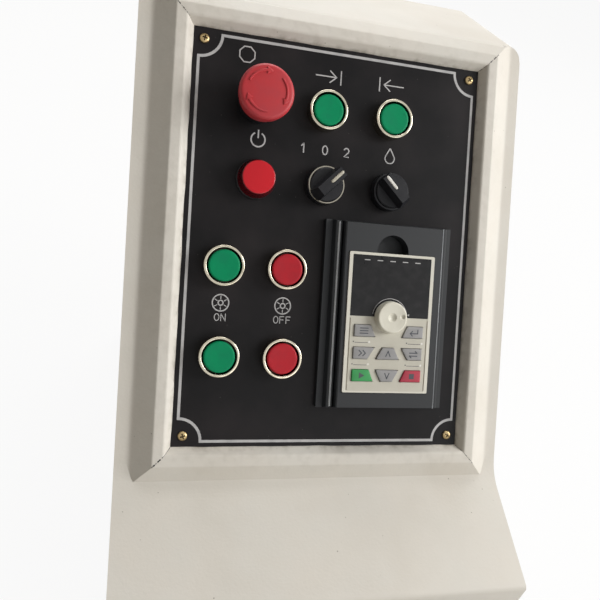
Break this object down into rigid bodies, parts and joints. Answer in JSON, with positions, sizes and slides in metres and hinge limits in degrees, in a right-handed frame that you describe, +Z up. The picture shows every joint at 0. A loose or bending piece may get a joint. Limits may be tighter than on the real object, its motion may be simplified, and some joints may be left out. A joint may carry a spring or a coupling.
{
  "type": "planer knife grinder control console",
  "caption": "Sheet-metal control console with a framed sloped operator panel: buttons, emergency stop, lamp, selectors and a drive keypad.",
  "frame": {"origin": "middle of the four base bolt holes, on the underside of the base plate", "axes": "+Z up, the operator faces the -Y side, +X to the operator's right"},
  "size_m": [0.303, 0.407, 0.4182],
  "materials": {
    "cream_paint": "brushed-on cream enamel on folded sheet steel",
    "black_plate": "satin black printed plate",
    "zinc_yellow": "yellow-passivated screws",
    "bare_steel": "zinc-plated sheet and rails",
    "bright_ring": "bright plated bezels",
    "green_cap": "moulded green caps",
    "red_cap": "moulded red caps",
    "estop_red": "moulded red, a little faded",
    "lamp_red": "translucent red lens",
    "black_plastic": "moulded black",
    "white_plastic": "moulded white",
    "drive_grey": "fine-grained dark grey moulding",
    "keypad_cream": "moulded cream",
    "key_grey": "moulded grey keys",
    "key_green": "moulded green key",
    "key_red": "moulded red key",
    "display_dark": "smoked window",
    "board_green": "circuit board",
    "sink_aluminium": "extruded",
    "edging_rubber": "black rubber",
    "relay_grey": "moulded light grey",
    "winding_brown": "varnished core and winding"
  },
  "bodies": {
    "console": {"base_plate": "cream_paint", "cable_edging": "edging_rubber", "side_panel_left": "cream_paint", "side_panel_right": "cream_paint", "wrap_sheet": "cream_paint", "rear_cover": "cream_paint", "cover_screws": "bare_steel", "panel_frame": "cream_paint", "control_plate": "black_plate", "plate_screws": "zinc_yellow", "button_bezels": "bright_ring", "lock_nuts": "black_plastic", "contact_blocks": "black_plastic", "estop_collar": "black_plastic", "lamp_body": "black_plastic", "lamp_lens": "lamp_red", "mode_ring": "black_plastic", "mode_trim": "bright_ring", "pump_ring": "black_plastic", "drive_front": "drive_grey", "drive_body": "drive_grey", "heat_sink": "sink_aluminium", "drive_brackets": "bare_steel", "keypad_case": "keypad_cream", "display_window": "display_dark", "keypad_board": "board_green", "mounting_plate": "bare_steel", "standoffs": "bare_steel", "mounting_rails": "bare_steel", "circuit_breaker": "relay_grey", "contactors": "black_plastic", "overload_relay": "relay_grey", "terminal_blocks": "relay_grey", "control_transformer": "winding_brown"},
    "stroke_right_cap": {"stroke_right_cap": "green_cap"},
    "stroke_left_cap": {"stroke_left_cap": "green_cap"},
    "upper_start_cap": {"upper_start_cap": "green_cap"},
    "upper_stop_cap": {"upper_stop_cap": "red_cap"},
    "lower_start_cap": {"lower_start_cap": "green_cap"},
    "lower_stop_cap": {"lower_stop_cap": "red_cap"},
    "key_program": {"key_program": "key_grey"},
    "key_function": {"key_function": "key_grey"},
    "key_jog": {"key_jog": "key_grey"},
    "key_up": {"key_up": "key_grey"},
    "key_direction": {"key_direction": "key_grey"},
    "key_run": {"key_run": "key_green"},
    "key_down": {"key_down": "key_grey"},
    "key_stop": {"key_stop": "key_red"},
    "estop_stem": {"estop_stem": "black_plastic"},
    "estop_head": {"estop_head": "estop_red"},
    "mode_knob": {"mode_knob": "black_plastic", "mode_pointer": "white_plastic"},
    "pump_knob": {"pump_knob": "black_plastic", "pump_pointer": "white_plastic"},
    "speed_knob": {"speed_knob": "keypad_cream"}
  },
  "joints": [
    {"name": "stroke_right_press", "type": "slide", "parent": "console", "child": "stroke_right_cap", "axis": [0, 0.809, -0.5878], "range_m": [0, 0.004], "stiffness_N_per_m": 1000, "springref_m": -0.002},
    {"name": "stroke_left_press", "type": "slide", "parent": "console", "child": "stroke_left_cap", "axis": [0, 0.809, -0.5878], "range_m": [0, 0.004], "stiffness_N_per_m": 1000, "springref_m": -0.002},
    {"name": "upper_start_press", "type": "slide", "parent": "console", "child": "upper_start_cap", "axis": [0, 0.809, -0.5878], "range_m": [0, 0.004], "stiffness_N_per_m": 1000, "springref_m": -0.002},
    {"name": "upper_stop_press", "type": "slide", "parent": "console", "child": "upper_stop_cap", "axis": [0, 0.809, -0.5878], "range_m": [0, 0.004], "stiffness_N_per_m": 1000, "springref_m": -0.002},
    {"name": "lower_start_press", "type": "slide", "parent": "console", "child": "lower_start_cap", "axis": [0, 0.809, -0.5878], "range_m": [0, 0.004], "stiffness_N_per_m": 1000, "springref_m": -0.002},
    {"name": "lower_stop_press", "type": "slide", "parent": "console", "child": "lower_stop_cap", "axis": [0, 0.809, -0.5878], "range_m": [0, 0.004], "stiffness_N_per_m": 1000, "springref_m": -0.002},
    {"name": "estop_press", "type": "slide", "parent": "console", "child": "estop_stem", "axis": [0, 0.809, -0.5878], "range_m": [0, 0.007]},
    {"name": "estop_twist", "type": "hinge", "parent": "estop_stem", "child": "estop_head", "pos_m": [-0.0638, 0.02281, 0.37643], "axis": [0, -0.809, 0.5878], "range_deg": [-40, 0], "stiffness_Nm_per_rad": 0.05},
    {"name": "mode_turn", "type": "hinge", "parent": "console", "child": "mode_knob", "pos_m": [-0.0108, 0.00499, 0.32128], "axis": [0, -0.809, 0.5878], "range_deg": [0, 90]},
    {"name": "pump_turn", "type": "hinge", "parent": "console", "child": "pump_knob", "pos_m": [0.0415, 0.00499, 0.32128], "axis": [0, -0.809, 0.5878], "range_deg": [-90, 0]},
    {"name": "speed_turn", "type": "hinge", "parent": "console", "child": "speed_knob", "pos_m": [0.0423, -0.05912, 0.25006], "axis": [0, -0.809, 0.5878], "range_deg": [-57, 213]},
    {"name": "key_program_press", "type": "slide", "parent": "console", "child": "key_program", "axis": [0, 0.809, -0.5878], "range_m": [0, 0.0008], "stiffness_N_per_m": 1500, "springref_m": -0.0004},
    {"name": "key_function_press", "type": "slide", "parent": "console", "child": "key_function", "axis": [0, 0.809, -0.5878], "range_m": [0, 0.0008], "stiffness_N_per_m": 1500, "springref_m": -0.0004},
    {"name": "key_jog_press", "type": "slide", "parent": "console", "child": "key_jog", "axis": [0, 0.809, -0.5878], "range_m": [0, 0.0008], "stiffness_N_per_m": 1500, "springref_m": -0.0004},
    {"name": "key_up_press", "type": "slide", "parent": "console", "child": "key_up", "axis": [0, 0.809, -0.5878], "range_m": [0, 0.0008], "stiffness_N_per_m": 1500, "springref_m": -0.0004},
    {"name": "key_direction_press", "type": "slide", "parent": "console", "child": "key_direction", "axis": [0, 0.809, -0.5878], "range_m": [0, 0.0008], "stiffness_N_per_m": 1500, "springref_m": -0.0004},
    {"name": "key_run_press", "type": "slide", "parent": "console", "child": "key_run", "axis": [0, 0.809, -0.5878], "range_m": [0, 0.0008], "stiffness_N_per_m": 1500, "springref_m": -0.0004},
    {"name": "key_down_press", "type": "slide", "parent": "console", "child": "key_down", "axis": [0, 0.809, -0.5878], "range_m": [0, 0.0008], "stiffness_N_per_m": 1500, "springref_m": -0.0004},
    {"name": "key_stop_press", "type": "slide", "parent": "console", "child": "key_stop", "axis": [0, 0.809, -0.5878], "range_m": [0, 0.0008], "stiffness_N_per_m": 1500, "springref_m": -0.0004}
  ]
}
